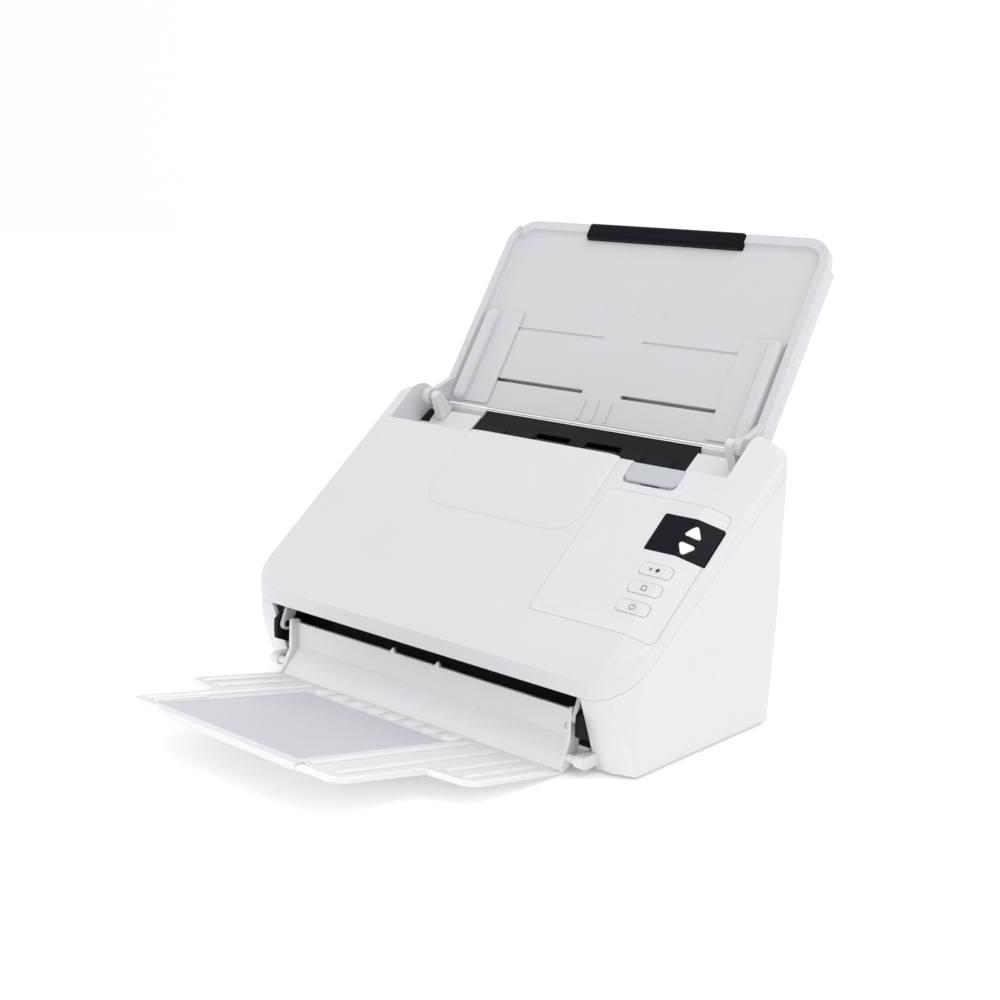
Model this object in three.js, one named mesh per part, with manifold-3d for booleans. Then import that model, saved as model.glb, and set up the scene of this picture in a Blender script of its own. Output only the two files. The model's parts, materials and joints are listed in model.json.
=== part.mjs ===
// Sheet fed document scanner with folding trays, in millimetres, +Z up.
// Body frame: X to the right, Y to the back, Z up, floor at Z = 0, front lip near Y = 0, centred on X = 0.
import * as THREE from 'three';
import { mergeVertices } from 'three/addons/utils/BufferGeometryUtils.js';
import Module from 'manifold-3d';

const wasm = await Module();
wasm.setup();

// ---------------------------------------------------------------- driving dimensions

const gap = 0.3;
const width = 316;
const halfWidth = width / 2;
const bottomHalfWidth = 152;
const floorClearance = 1.8;

// side outline of lid and housing together
const lipFront = 0.5;
const lipTop = 58;
const panelFront = new THREE.Vector2(9.9, 69.6);
const panelSlope = THREE.MathUtils.degToRad(40.3);
const cheekRadius = 17;
const cheekCentre = new THREE.Vector2(149.3, 165.4);
const backBottom = 170.7;
const frontBottom = 20.3;
const chamferWidth = 19.7;
const chamferDrop = 7.2;
const shoulderWidth = 7;
const shoulderDrop = 12;
const frontCornerRadius = 24;
const backCornerRadius = 8;
const shell = 2.8;

// parting line between lid and housing, which is also the plane the sheets run in
const partingFront = new THREE.Vector2(0.5, 48);
const partingBend = new THREE.Vector2(30, 66);
const pathSlope = THREE.MathUtils.degToRad(37);
const pathOrigin = new THREE.Vector3(0, 0, partingBend.y - partingBend.x * Math.tan(pathSlope));
const openingHalfWidth = 128;
const rearWall = 164;
const cheekInner = 139.3;

// input tray, in its own frame: X right, Y up along the tray, Z out of the side the sheets lie on
const trayOrigin = new THREE.Vector3(0, 165.6, 169.7);
const trayTilt = THREE.MathUtils.degToRad(58.9);
const trayLength = 149;
const trayHalfWidth = 132;
const trayPanelHalfWidth = 126.2;
const trayThickness = 8;
const trayWallHeight = 5;
const trayPivot = new THREE.Vector2(148, 174);

// output tray, in its own frame: X right, Y to the back, Z up from the floor the sheets land on
const outletOrigin = new THREE.Vector3(0, 0.4, 2.6);
const outletTilt = THREE.MathUtils.degToRad(-9.7);
const outletPivot = new THREE.Vector2(6, 9);
const outletHalfWidth = 118;
const outletSideLength = 79;
const outletReach = 147;
const outletCentreHalf = 87;

const lidPivot = new THREE.Vector2(8, 34);

// pins turn in holes that are larger by the running fit
const runningFit = 0.1;
const lidPinRadius = 2.3;
const outletPinRadius = 2.5;
const trayPinRadius = 2.4;
const trayPinEnd = 130;

// ---------------------------------------------------------------- colours and finishes

const finishes = {
  white: { color: 0xe9e9eb, roughness: 0.42, metalness: 0 },
  lidWhite: { color: 0xe2e2e5, roughness: 0.45, metalness: 0 },
  panelWhite: { color: 0xe6e6e9, roughness: 0.3, metalness: 0 },
  grey: { color: 0xb9bcc2, roughness: 0.45, metalness: 0 },
  paleGrey: { color: 0xd2d4d8, roughness: 0.5, metalness: 0 },
  black: { color: 0x17171b, roughness: 0.45, metalness: 0 },
  glossBlack: { color: 0x0b0b10, roughness: 0.12, metalness: 0 },
  key: { color: 0xf2f2f2, roughness: 0.3, metalness: 0 },
  rubber: { color: 0x26262a, roughness: 0.85, metalness: 0 },
  steel: { color: 0xa8abb0, roughness: 0.35, metalness: 0.9 },
  glass: { color: 0x9fb4b8, roughness: 0.05, metalness: 0 },
  board: { color: 0x1f5d3a, roughness: 0.55, metalness: 0 },
  copper: { color: 0xb9bbbd, roughness: 0.3, metalness: 0.8 },
};

// ---------------------------------------------------------------- geometry helpers

function solid(geometry) {
  geometry.deleteAttribute('normal');
  geometry.deleteAttribute('uv');
  const welded = mergeVertices(geometry, 1e-4);
  return new wasm.Manifold(new wasm.Mesh({
    numProp: 3,
    vertProperties: new Float32Array(welded.attributes.position.array),
    triVerts: new Uint32Array(welded.index.array),
  }));
}

// the cuts can leave crumbs of no volume, so a part keeps only its largest body
function largestBody(shape) {
  return shape.decompose().reduce((best, body) => (body.volume() > best.volume() ? body : best));
}

function part(name, shape, finish) {
  const mesh = largestBody(shape).getMesh();
  const geometry = new THREE.BufferGeometry();
  geometry.setAttribute('position', new THREE.BufferAttribute(mesh.vertProperties, 3));
  geometry.setIndex(new THREE.BufferAttribute(mesh.triVerts, 1));
  const flat = geometry.toNonIndexed();
  flat.computeVertexNormals();
  const item = new THREE.Mesh(flat, new THREE.MeshStandardMaterial(finishes[finish]));
  item.name = name;
  return item;
}

function block(x0, x1, y0, y1, z0, z1) {
  const geometry = new THREE.BoxGeometry(x1 - x0, y1 - y0, z1 - z0);
  geometry.translate((x0 + x1) / 2, (y0 + y1) / 2, (z0 + z1) / 2);
  return solid(geometry);
}

// a block given once for each side of X = 0
function pair(x0, x1, y0, y1, z0, z1) {
  return block(x0, x1, y0, y1, z0, z1).add(block(-x1, -x0, y0, y1, z0, z1));
}

function outline(points) {
  return new THREE.Shape(points.map(([a, b]) => new THREE.Vector2(a, b)));
}

function roundedRect(x0, x1, y0, y1, radius) {
  const r = Math.min(radius, (x1 - x0) / 2 - 0.01, (y1 - y0) / 2 - 0.01);
  const shape = new THREE.Shape();
  shape.moveTo(x0 + r, y0);
  shape.lineTo(x1 - r, y0);
  shape.absarc(x1 - r, y0 + r, r, -Math.PI / 2, 0, false);
  shape.lineTo(x1, y1 - r);
  shape.absarc(x1 - r, y1 - r, r, 0, Math.PI / 2, false);
  shape.lineTo(x0 + r, y1);
  shape.absarc(x0 + r, y1 - r, r, Math.PI / 2, Math.PI, false);
  shape.lineTo(x0, y0 + r);
  shape.absarc(x0 + r, y0 + r, r, Math.PI, Math.PI * 1.5, false);
  return shape;
}

// extrudes an X-Y outline along Z
function prismZ(shape, z0, z1, options = {}) {
  const geometry = new THREE.ExtrudeGeometry(shape, {
    depth: z1 - z0, bevelEnabled: false, curveSegments: 5, ...options,
  });
  geometry.translate(0, 0, z0);
  return solid(geometry);
}

// extrudes a Y-Z outline along X
function prismX(shape, x0, x1, options = {}) {
  const geometry = new THREE.ExtrudeGeometry(shape, {
    depth: x1 - x0, bevelEnabled: false, curveSegments: 7, ...options,
  });
  geometry.translate(0, 0, x0);
  const toSide = new THREE.Matrix4().makeBasis(
    new THREE.Vector3(0, 1, 0), new THREE.Vector3(0, 0, 1), new THREE.Vector3(1, 0, 0));
  geometry.applyMatrix4(toSide);
  return solid(geometry);
}

// extrudes an X-Z outline along Y
function prismY(shape, y0, y1) {
  const geometry = new THREE.ExtrudeGeometry(shape, { depth: y1 - y0, bevelEnabled: false });
  const toFront = new THREE.Matrix4().makeBasis(
    new THREE.Vector3(1, 0, 0), new THREE.Vector3(0, 0, 1), new THREE.Vector3(0, -1, 0));
  geometry.applyMatrix4(toFront);
  geometry.translate(0, y1, 0);
  return solid(geometry);
}

function pairX(shape, x0, x1) {
  return prismX(shape, x0, x1).add(prismX(shape, -x1, -x0));
}

// turned body along X through (y, z), from [x, radius] steps
function turned(steps, y, z, segments = 16) {
  const first = steps[0];
  const last = steps[steps.length - 1];
  const profile = [[first[0], 0], ...steps, [last[0], 0]].map(([x, r]) => new THREE.Vector2(r, x));
  const geometry = new THREE.LatheGeometry(profile, segments);
  geometry.rotateZ(-Math.PI / 2);
  geometry.translate(0, y, z);
  return solid(geometry);
}

function rod(radius, x0, x1, y, z, segments = 16) {
  return turned([[x0, radius], [x1, radius]], y, z, segments);
}

function rodPair(radius, x0, x1, y, z, segments = 16) {
  return rod(radius, x0, x1, y, z, segments).add(rod(radius, -x1, -x0, y, z, segments));
}

// moves every edge of a closed outline inwards by the same distance
function insetShape(shape, distance, divisions = 7) {
  const points = shape.getPoints(divisions);
  if (points[0].distanceTo(points[points.length - 1]) < 1e-6) points.pop();
  const clean = points.filter((p, i) => p.distanceTo(points[(i + 1) % points.length]) > 1e-6);
  const inward = (a, b) => new THREE.Vector2(a.y - b.y, b.x - a.x).normalize();
  const moved = clean.map((p, i) => {
    const before = inward(clean[(i + clean.length - 1) % clean.length], p);
    const after = inward(p, clean[(i + 1) % clean.length]);
    const middle = before.clone().add(after);
    return p.clone().addScaledVector(middle, distance * 2 / middle.lengthSq());
  });
  return new THREE.Shape(moved);
}

// path frame: X right, Y up along the sheet path, Z out of the deck towards the lid
function fromPath(shape) {
  return shape.rotate([THREE.MathUtils.radToDeg(pathSlope), 0, 0]).translate(pathOrigin.toArray());
}

// panel frame: X right, Y up along the lid's top panel, Z out of it
function fromPanel(shape) {
  const slope = THREE.MathUtils.radToDeg(panelSlope);
  return shape.rotate([slope, 0, 0]).translate([0, panelFront.x, panelFront.y]);
}

function pathPoint(s, n) {
  return new THREE.Vector2(
    pathOrigin.y + s * Math.cos(pathSlope) - n * Math.sin(pathSlope),
    pathOrigin.z + s * Math.sin(pathSlope) + n * Math.cos(pathSlope));
}

// ---------------------------------------------------------------- outer envelope

// side outline of the closed scanner, carried on below the floor so that only its upper edges are chamfered
function sideOutline() {
  const below = -40;
  const undercut = (frontBottom - lipFront) / partingFront.y;
  const shape = new THREE.Shape();
  shape.moveTo(frontBottom - undercut * below, below);
  shape.lineTo(backBottom + 1, below);
  shape.lineTo(backBottom, 0);
  shape.lineTo(cheekCentre.x + cheekRadius, cheekCentre.y);
  shape.absarc(cheekCentre.x, cheekCentre.y, cheekRadius, 0, Math.PI / 2 + panelSlope, false);
  shape.lineTo(panelFront.x, panelFront.y);
  shape.lineTo(lipFront, lipTop);
  shape.lineTo(lipFront, partingFront.y);
  return shape;
}

function chamferedExtrusion(shape, half, bevelWidth, bevelDrop) {
  return prismX(shape, bevelWidth - half, half - bevelWidth, {
    bevelEnabled: true,
    bevelThickness: bevelWidth,
    bevelSize: bevelDrop,
    bevelOffset: -bevelDrop,
    bevelSegments: 1,
  });
}

function planSolid(inset) {
  const low = -45;
  const high = 200;
  const back = backBottom + 0.5 - inset;
  const front = lipFront - 0.2 + inset;
  const half = halfWidth - inset;
  const shape = new THREE.Shape();
  shape.moveTo(-half + frontCornerRadius, front);
  shape.lineTo(half - frontCornerRadius, front);
  const quarter = Math.PI / 2;
  const corner = (side, y, radius, start) => shape.absarc(
    side * (half - radius), y, radius, start, start + quarter, false);
  corner(1, front + frontCornerRadius, frontCornerRadius, -quarter);
  corner(1, back - backCornerRadius, backCornerRadius, 0);
  corner(-1, back - backCornerRadius, backCornerRadius, quarter);
  corner(-1, front + frontCornerRadius, frontCornerRadius, 2 * quarter);
  const depth = high - low;
  const geometry = new THREE.ExtrudeGeometry(shape, { depth, bevelEnabled: false, curveSegments: 5 });
  geometry.translate(0, 0, low);
  const position = geometry.attributes.position;
  const draft = (halfWidth - bottomHalfWidth) / cheekCentre.y;
  for (let i = 0; i < position.count; i += 1) {
    const x = position.getX(i);
    const narrowing = draft * (cheekCentre.y - position.getZ(i));
    position.setX(i, x - Math.sign(x) * narrowing);
  }
  return solid(geometry);
}

function envelope(inset) {
  const shape = inset > 0 ? insetShape(sideOutline(), inset) : sideOutline();
  return chamferedExtrusion(shape, halfWidth - inset, chamferWidth, chamferDrop)
    .intersect(chamferedExtrusion(shape, halfWidth - inset, shoulderWidth, shoulderDrop))
    .intersect(planSolid(inset));
}

// everything under the parting line, lowered or raised by an offset
function belowParting(offset) {
  const far = 260;
  const slope = Math.tan(pathSlope);
  const frontSlope = (partingBend.y - partingFront.y) / (partingBend.x - partingFront.x);
  return prismX(outline([
    [-60, -80],
    [far, -80],
    [far, partingBend.y + (far - partingBend.x) * slope + offset],
    [partingBend.x, partingBend.y + offset],
    [-60, partingBend.y - (partingBend.x + 60) * frontSlope + offset],
  ]), -halfWidth - 20, halfWidth + 20);
}

const outer = envelope(0);
const inner = envelope(shell);
const lidOuter = outer
  .subtract(belowParting(gap / 2))
  .subtract(fromPath(block(-cheekInner, cheekInner, rearWall, 300, -10, 90)));

// right half of the lid's section across the slope: top panel, chamfer, shoulder
function lidSection(inset) {
  const fold = halfWidth - chamferWidth;
  const edge = halfWidth - shoulderWidth;
  const chamferRate = chamferDrop / chamferWidth;
  const shoulderRate = shoulderDrop / shoulderWidth;
  const corner = (edge * shoulderRate - fold * chamferRate) / (shoulderRate - chamferRate);
  const deep = 50;
  return insetShape(outline([
    [0, -deep],
    [edge + deep / shoulderRate, -deep],
    [corner, -(corner - fold) * chamferRate],
    [fold, 0],
    [0, 0],
  ]), inset);
}

// the layer of the lid between two depths under its outer surface
function lidLayer(top, bottom) {
  const rear = 170;
  return fromPanel(prismY(lidSection(top), 0, rear).subtract(prismY(lidSection(bottom), -1, rear + 1))
    .intersect(block(20, 200, 0, rear, -30, 30)));
}

// ---------------------------------------------------------------- control panel

const controlPanel = { left: 68, right: 154.4, front: 20, back: 117, radius: 4 };
const display = { left: 116, right: 155, front: 78.5, back: 106.5, radius: 1.2 };
const skinThickness = 1.4;
const recessDepth = 1.8;
const buttonRows = [38, 52, 65.5];
const button = { left: 122, right: 143, height: 8.6, radius: 3 };
const keyDepth = 5;
const keyProud = 0.4;
const arrowKeys = [{ name: 'key_up', row: 97.6, turn: 1 }, { name: 'key_down', row: 84.8, turn: -1 }];
const arrow = { middle: 140.8, halfBase: 3.3, height: 5, corner: 1.3 };

function panelPrism({ left, right, front, back, radius }, grow = 0) {
  const shape = roundedRect(left - grow, right + grow, front - grow, back + grow, radius + grow);
  return fromPanel(prismZ(shape, -40, 20));
}

// rounded triangle that points up or down the slope, across the fold between panel and chamfer
function arrowOutline(row, turn, grow) {
  const { middle, halfBase, height } = arrow;
  const corner = arrow.corner + grow;
  const tip = new THREE.Vector2(middle, row + turn * height / 2);
  const base = row - turn * height / 2;
  const ends = [middle - halfBase, middle + halfBase].map((x) => new THREE.Vector2(x, base));
  const centres = turn > 0 ? [ends[0], ends[1], tip] : [ends[1], ends[0], tip];
  const shape = new THREE.Shape();
  centres.forEach((centre, i) => {
    const previous = centres[(i + 2) % 3];
    const next = centres[(i + 1) % 3];
    const start = Math.atan2(centre.y - previous.y, centre.x - previous.x) - Math.PI / 2;
    const end = Math.atan2(next.y - centre.y, next.x - centre.x) - Math.PI / 2;
    shape.absarc(centre.x, centre.y, corner, start, end, false);
  });
  return shape;
}

function arrowPrism({ row, turn }, grow = 0) {
  return fromPanel(prismZ(arrowOutline(row, turn, grow), -40, 20, { curveSegments: 3 }));
}

function buttonPrism(row, grow = 0) {
  const half = button.height / 2;
  return panelPrism({
    left: button.left, right: button.right, front: row - half, back: row + half, radius: button.radius,
  }, grow);
}

// a key's body: a column under its own outline, from just proud of the panel to inside the lid
function keyBody(prism) {
  return lidLayer(-keyProud, keyDepth).intersect(prism);
}

function buildControlPanel() {
  const items = [];
  const skin = lidLayer(0, skinThickness);
  let film = skin.intersect(panelPrism(controlPanel)).subtract(panelPrism(display, 0.2));
  buttonRows.forEach((row, i) => {
    film = film.subtract(buttonPrism(row, gap));
    items.push(part(`button_${['power', 'scan', 'function'][i]}`, keyBody(buttonPrism(row)), 'panelWhite'));
  });
  let lens = skin.intersect(panelPrism(display));
  arrowKeys.forEach((key) => {
    lens = lens.subtract(arrowPrism(key, gap));
    items.push(part(key.name, keyBody(arrowPrism(key)), 'key'));
  });
  items.push(part('control_panel', film, 'panelWhite'));
  items.push(part('display_window', lens, 'glossBlack'));
  return items;
}

// ---------------------------------------------------------------- latch and plateau

const latch = { left: 72.5, right: 111.5, front: 125.5, back: 139.8, radius: 4.5 };
const latchRun = 2.6;
const latchThickness = 2.2;

function latchPrism(grow, forward, z0, z1) {
  const { left, right, front, back, radius } = latch;
  const shape = roundedRect(left - grow, right + grow, front - forward, back + 12 + grow, radius);
  return fromPanel(prismZ(shape, z0, z1));
}

function buildLatch() {
  const tab = latchPrism(0, 0, -latchThickness, 0).intersect(
    fromPanel(block(0, halfWidth, 0, latch.back, -20, 20)));
  const stem = fromPanel(block(86, 98, 129, 136, -7.5, -latchThickness + 0.5));
  return part('release_latch', tab.add(stem), 'grey');
}

const plateauSize = { half: 62, front: 76, height: 1.6, edge: 11, radius: 18, tilt: 1 };

// soft raised field in the middle of the top panel, rising towards the throat
function plateau() {
  const { half, front, height, edge, radius, tilt } = plateauSize;
  const bevel = {
    bevelEnabled: true, bevelThickness: height, bevelSize: edge, bevelOffset: -edge, bevelSegments: 3,
  };
  const raised = prismZ(roundedRect(-half, half, 0, 120, radius), -height - 0.1, 0, bevel)
    .rotate([tilt, 0, 0]).translate([0, front, 0]);
  return fromPanel(raised.intersect(block(-80, 80, front - 20, 200, -1, 10)))
    .subtract(fromPath(block(-100, 100, rearWall, 300, -10, 90)));
}

// ---------------------------------------------------------------- lid

const ear = { inner: 120.6, outer: 123.4, radius: 4.2 };

function buildLidCover() {
  const keepWall = fromPath(block(-cheekInner - shell, cheekInner + shell, rearWall - shell, 300, -20, 90));
  let cover = lidOuter.add(plateau()).subtract(inner.subtract(keepWall));
  const recess = panelPrism(controlPanel, 0.25).add(panelPrism(display, 0.25));
  cover = cover.subtract(lidLayer(-2, recessDepth).intersect(recess));
  cover = cover.subtract(latchPrism(gap, latchRun, -latchThickness - gap, 20));
  cover = cover.subtract(fromPanel(block(85, 99, 125, 137, -10, 2)));
  buttonRows.forEach((row) => {
    cover = cover.subtract(buttonPrism(row, gap));
  });
  arrowKeys.forEach((key) => {
    cover = cover.subtract(arrowPrism(key, gap));
  });
  return part('lid_cover', cover, 'lidWhite');
}

// ---------------------------------------------------------------- sheet path

// each roller pair: distance up the path, and where its rubber tyres sit
const driveAxis = -8.4;
const driveRadius = 8.8;
const idlerAxis = 5.9;
const idlerRadius = 5;
const separationAxis = 9.3;
const separationRadius = 8.4;
const shaftRadius = 3;
const drives = [
  { name: 'pickup_roller', s: 184, tyres: [[-34, -8], [8, 34]] },
  { name: 'feed_roller', s: 148, tyres: [[-24, 24]] },
  { name: 'transport_roller', s: 110, tyres: [[-84, -54], [54, 84]] },
  { name: 'exit_roller', s: 31, tyres: [[-84, -54], [54, 84]] },
];
const idlers = [
  { name: 'separation_roller', s: 148, tyres: [[-22, 22]], axis: separationAxis, radius: separationRadius },
  { name: 'transport_idler', s: 110, tyres: [[-82, -56], [56, 82]], axis: idlerAxis, radius: idlerRadius },
  { name: 'exit_idler', s: 31, tyres: [[-82, -56], [56, 82]], axis: idlerAxis, radius: idlerRadius },
];
const deckHalfWidth = 148;
const deckFrontHalf = 143;
const deckFront = 17;
const deckBack = 200;
const deckTop = -0.4;
const deckThickness = 3;
const deckEdge = 1.1;
const linerHalfWidth = 136;
const linerTop = 3.4;
const linerBottom = 1.1;
const sensor = { s0: 62, s1: 84, half: 112 };
const feedUnit = { half: 90.5, s0: 158, s1: 200, ledge: 206.9 };
const framePlate = { inner: 139, outer: 141.5 };
const pulley = { radius: 5, inner: 143.6, outer: 146.6 };
const driveShaftEnd = 142.6;

function roller({ s, tyres }, axis, radius, ends, pulleyOn) {
  const steps = [[-ends, shaftRadius]];
  tyres.forEach(([from, to]) => {
    steps.push([from, shaftRadius], [from, radius], [to, radius], [to, shaftRadius]);
  });
  if (pulleyOn) {
    steps.push([pulley.inner, shaftRadius], [pulley.inner, pulley.radius], [pulley.outer, pulley.radius]);
  } else {
    steps.push([ends, shaftRadius]);
  }
  const centre = pathPoint(s, axis);
  return turned(steps, centre.x, centre.y);
}

// windows around the tyres of the rollers that reach through a plate
function tyreWindows(list, reach) {
  return list.flatMap(({ s, tyres }) => tyres.map(([from, to]) => block(
    from - 1.2, to + 1.2, s - reach, s + reach, -40, 40)));
}

// window through a plate with a gap all round a unit that stands in it
function cutAround({ half, s0, s1 }) {
  return block(-half - gap, half + gap, s0 - gap, s1 + gap, -40, 40);
}

function buildDeck() {
  let deck = block(-deckHalfWidth, deckHalfWidth, deckFront, deckBack, deckTop - deckEdge, deckTop)
    .add(block(-framePlate.inner, framePlate.inner, deckFront, deckBack, deckTop - deckThickness, deckTop));
  deck = deck.subtract(pair(cheekInner + 2, deckHalfWidth + 2, 190, deckBack + 2, -40, 40));
  deck = deck.subtract(pair(deckFrontHalf, deckHalfWidth + 2, 0, 30, -40, 40));
  deck = deck.subtract(pair(ear.inner - 0.8, ear.outer + 0.8, 0, 36, -40, 40));
  tyreWindows(drives.slice(1), driveRadius + 0.8).forEach((window) => {
    deck = deck.subtract(window);
  });
  deck = deck.subtract(cutAround(sensor));
  deck = deck.subtract(cutAround({ ...feedUnit, s1: deckBack + 5 }));
  return part('sheet_deck', fromPath(deck), 'white');
}

// black unit in the throat, stepped down around the pick-up tyres, with a ledge on the rear wall
function buildFeedUnit() {
  const { half, s0, s1 } = feedUnit;
  let unit = block(-half, half, s0, s1, deckTop - 3.2, deckTop - 0.8);
  unit = unit.add(block(-half, half, s1 - 1, feedUnit.ledge, deckTop - 3.2, deckTop - 0.8));
  unit = unit.add(block(-half, half, s0, s0 + 3, deckTop - 14, deckTop - 3));
  unit = unit.add(block(-half, half, s1 - 7, s1 - 4, deckTop - 8, deckTop - 3));
  [-70, -46, 46, 70].forEach((x) => {
    unit = unit.add(block(x - 9, x + 9, s0 + 8, s1 - 8, deckTop - 1, deckTop));
  });
  drives[0].tyres.forEach(([from, to]) => {
    unit = unit.subtract(block(from - 1.2, to + 1.2, drives[0].s - 10, drives[0].s + 10, -40, 40));
  });
  return part('feed_unit', fromPath(unit), 'black');
}

function buildSensor(name, glassName, z0, z1, glassZ0, glassZ1) {
  const { s0, s1, half } = sensor;
  const pocketLow = Math.min(glassZ0, glassZ1 - 5);
  const pocketHigh = Math.max(glassZ1, glassZ0 + 5);
  const housing = block(-half, half, s0, s1, z0, z1)
    .subtract(block(-half + 4, half - 4, s0 + 6, s1 - 6, pocketLow, pocketHigh));
  const pane = block(-half + 4.3, half - 4.3, s0 + 6.3, s1 - 6.3, glassZ0, glassZ1);
  return [part(name, fromPath(housing), 'black'), part(glassName, fromPath(pane), 'glass')];
}

// lower liner of the lid: flat along the path, rising to the rear wall as the upper jaw of the throat
function buildLiner() {
  const jaw = outline([
    [18, linerBottom], [144, linerBottom], [rearWall - shell - 1, 9.4], [rearWall - shell - 1, 12],
    [143, linerTop], [18, linerTop],
  ]);
  let liner = prismX(jaw, -linerHalfWidth, linerHalfWidth);
  const windows = idlers.flatMap(({ s, tyres, radius }) => tyres.map(([from, to]) => block(
    from - 1.2, to + 1.2, s - radius - 0.9, s + radius + 0.9, -40, 40)));
  windows.forEach((window) => {
    liner = liner.subtract(window);
  });
  liner = liner.subtract(cutAround(sensor));
  const cradle = idlers.flatMap(({ s, axis }) => [-1, 1].map((side) => block(
    side * 108 - 2, side * 108 + 2, s - 4.5, s + 4.5, linerTop - 0.5, axis + 4)));
  cradle.forEach((rib) => {
    liner = liner.add(rib);
  });
  idlers.forEach(({ s, axis }) => {
    liner = liner.subtract(rod(shaftRadius + runningFit, -112, 112, s, axis));
  });
  const arm = new THREE.Shape();
  const top = pathPoint(27, linerBottom + 0.5);
  arm.absarc(lidPivot.x, lidPivot.y, ear.radius, Math.PI, Math.PI * 2, false);
  arm.lineTo(top.x + 4, top.y);
  arm.lineTo(top.x - 8, top.y - 3.5);
  const arms = pairX(arm, ear.inner, ear.outer).subtract(
    rodPair(lidPinRadius + runningFit, ear.inner - 5, ear.outer + 5, lidPivot.x, lidPivot.y));
  return part('lid_liner', fromPath(liner).add(arms), 'paleGrey');
}

function buildRollers() {
  const items = [];
  drives.forEach((drive) => {
    items.push(part(drive.name, roller(drive, driveAxis, driveRadius, driveShaftEnd, true), 'rubber'));
  });
  idlers.forEach((idler) => {
    items.push(part(idler.name, roller(idler, idler.axis, idler.radius, 111, false), 'rubber'));
  });
  return items;
}

// ---------------------------------------------------------------- housing and what it carries

const bottomPlate = { z0: 2.1, z1: 4.1, front: 41, back: 163, half: 148.3 };
const exitFrame = { inner: 124.4, outer: 127.6, back: 38.5, wall: 2.5 };
const outletLug = { x0: 124.4, x1: 131, radius: 3.8, reach: 20 };
const usbPort = { x: 58, z: 26, halfX: 6.2, halfZ: 5.6 };
const powerInlet = { x: 92, z: 26, radius: 4.6 };

function buildHousing() {
  let housing = outer.intersect(belowParting(-gap / 2)).subtract(inner);
  housing = housing.subtract(block(-200, 200, -20, 260, -80, floorClearance));
  housing = housing.subtract(block(-openingHalfWidth, openingHalfWidth, -20, 42, -20, 80));
  const { x, z, halfX, halfZ } = usbPort;
  housing = housing.subtract(block(x - halfX, x + halfX, 150, 200, z - halfZ, z + halfZ));
  housing = housing.subtract(along(powerInlet, powerInlet.radius + gap, 150, 200));
  for (let i = -4; i <= 4; i += 1) {
    housing = housing.subtract(block(-70 + i * 7 - 1.5, -70 + i * 7 + 1.5, 160, 180, 40, 62));
  }
  const ledgeHalf = feedUnit.half + gap;
  const ledgeSeat = block(-ledgeHalf, ledgeHalf, deckBack, feedUnit.ledge + gap, deckTop - 3.2 - gap, 5);
  housing = housing.subtract(fromPath(ledgeSeat));
  return part('housing', addOutletLugs(housing), 'white');
}

// lugs on the inner edges of the two front columns, with blind holes for the pins of the output tray
function addOutletLugs(housing) {
  const { x0, x1, radius, reach } = outletLug;
  const lug = new THREE.Shape();
  lug.absarc(outletPivot.x, outletPivot.y, radius, Math.PI / 2, Math.PI * 1.5, false);
  lug.lineTo(reach, outletPivot.y - radius);
  lug.lineTo(reach, outletPivot.y + radius);
  return housing.add(pairX(lug, x0, x1)).subtract(
    rodPair(outletPinRadius + runningFit, x0 - 1, x1 - 1, outletPivot.x, outletPivot.y));
}

// cylinder along Y at a connector's position
function along({ x, z }, radius, y0, y1) {
  const geometry = new THREE.CylinderGeometry(radius, radius, y1 - y0, 24);
  geometry.translate(x, (y0 + y1) / 2, z);
  return solid(geometry);
}

function buildBottomPlate() {
  const { z0, z1, front, back, half } = bottomPlate;
  let plate = prismZ(roundedRect(-half, half, front, back, 4), z0, z1);
  for (let i = -5; i <= 5; i += 1) {
    plate = plate.subtract(block(i * 14 - 2, i * 14 + 2, 90, 120, -10, 10));
  }
  return part('bottom_plate', plate, 'paleGrey');
}

function buildFeet() {
  const positions = [[-132, 54], [132, 54], [-132, 150], [132, 150]];
  return positions.map(([x, y], i) => {
    const geometry = new THREE.CylinderGeometry(8, 7, bottomPlate.z0 - gap, 24);
    geometry.rotateX(Math.PI / 2);
    geometry.translate(x, y, (bottomPlate.z0 - gap) / 2);
    return part(`foot_${i + 1}`, solid(geometry), 'rubber');
  });
}

// black frame round the output opening: back wall and two end walls that hold the pins of the lid
function buildExitFrame() {
  const { inner: x0, outer: x1, back, wall } = exitFrame;
  const end = outline([
    [2.2, 31], [2.6, 24], [24, 15], [24, 5], [back, 5], [back, 55], [18, 47], [8, 40], [2.2, 37],
  ]);
  let frame = pairX(end, x0, x1);
  frame = frame.add(block(-x1, x1, back - wall, back, 5, 44));
  frame = frame.add(rodPair(lidPinRadius, ear.inner - 0.5, x0 + 0.5, lidPivot.x, lidPivot.y));
  return part('exit_frame', frame, 'black');
}

// inner frame plates that carry the drive rollers
function buildFramePlates() {
  const edge = [[46, -6], [190, -6]].map(([s, n]) => pathPoint(s, n).toArray());
  const lowFront = pathPoint(20, -5);
  const shape = outline([
    [46, 5], [158, 5], [158, edge[1][1] - 4], edge[1], edge[0],
    [lowFront.x + 4, lowFront.y], [lowFront.x + 4, 42], [46, 42],
  ]);
  const bearings = drives.map(({ s }) => pathPoint(s, driveAxis));
  return ['left', 'right'].map((side) => {
    const sign = side === 'left' ? -1 : 1;
    const [x0, x1] = [framePlate.inner * sign, framePlate.outer * sign].sort((a, b) => a - b);
    let plate = prismX(shape, x0, x1);
    bearings.forEach((b) => {
      plate = plate.subtract(rod(shaftRadius + runningFit, x0 - 5, x1 + 5, b.x, b.y));
    });
    return part(`frame_plate_${side}`, plate, 'steel');
  });
}

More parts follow.
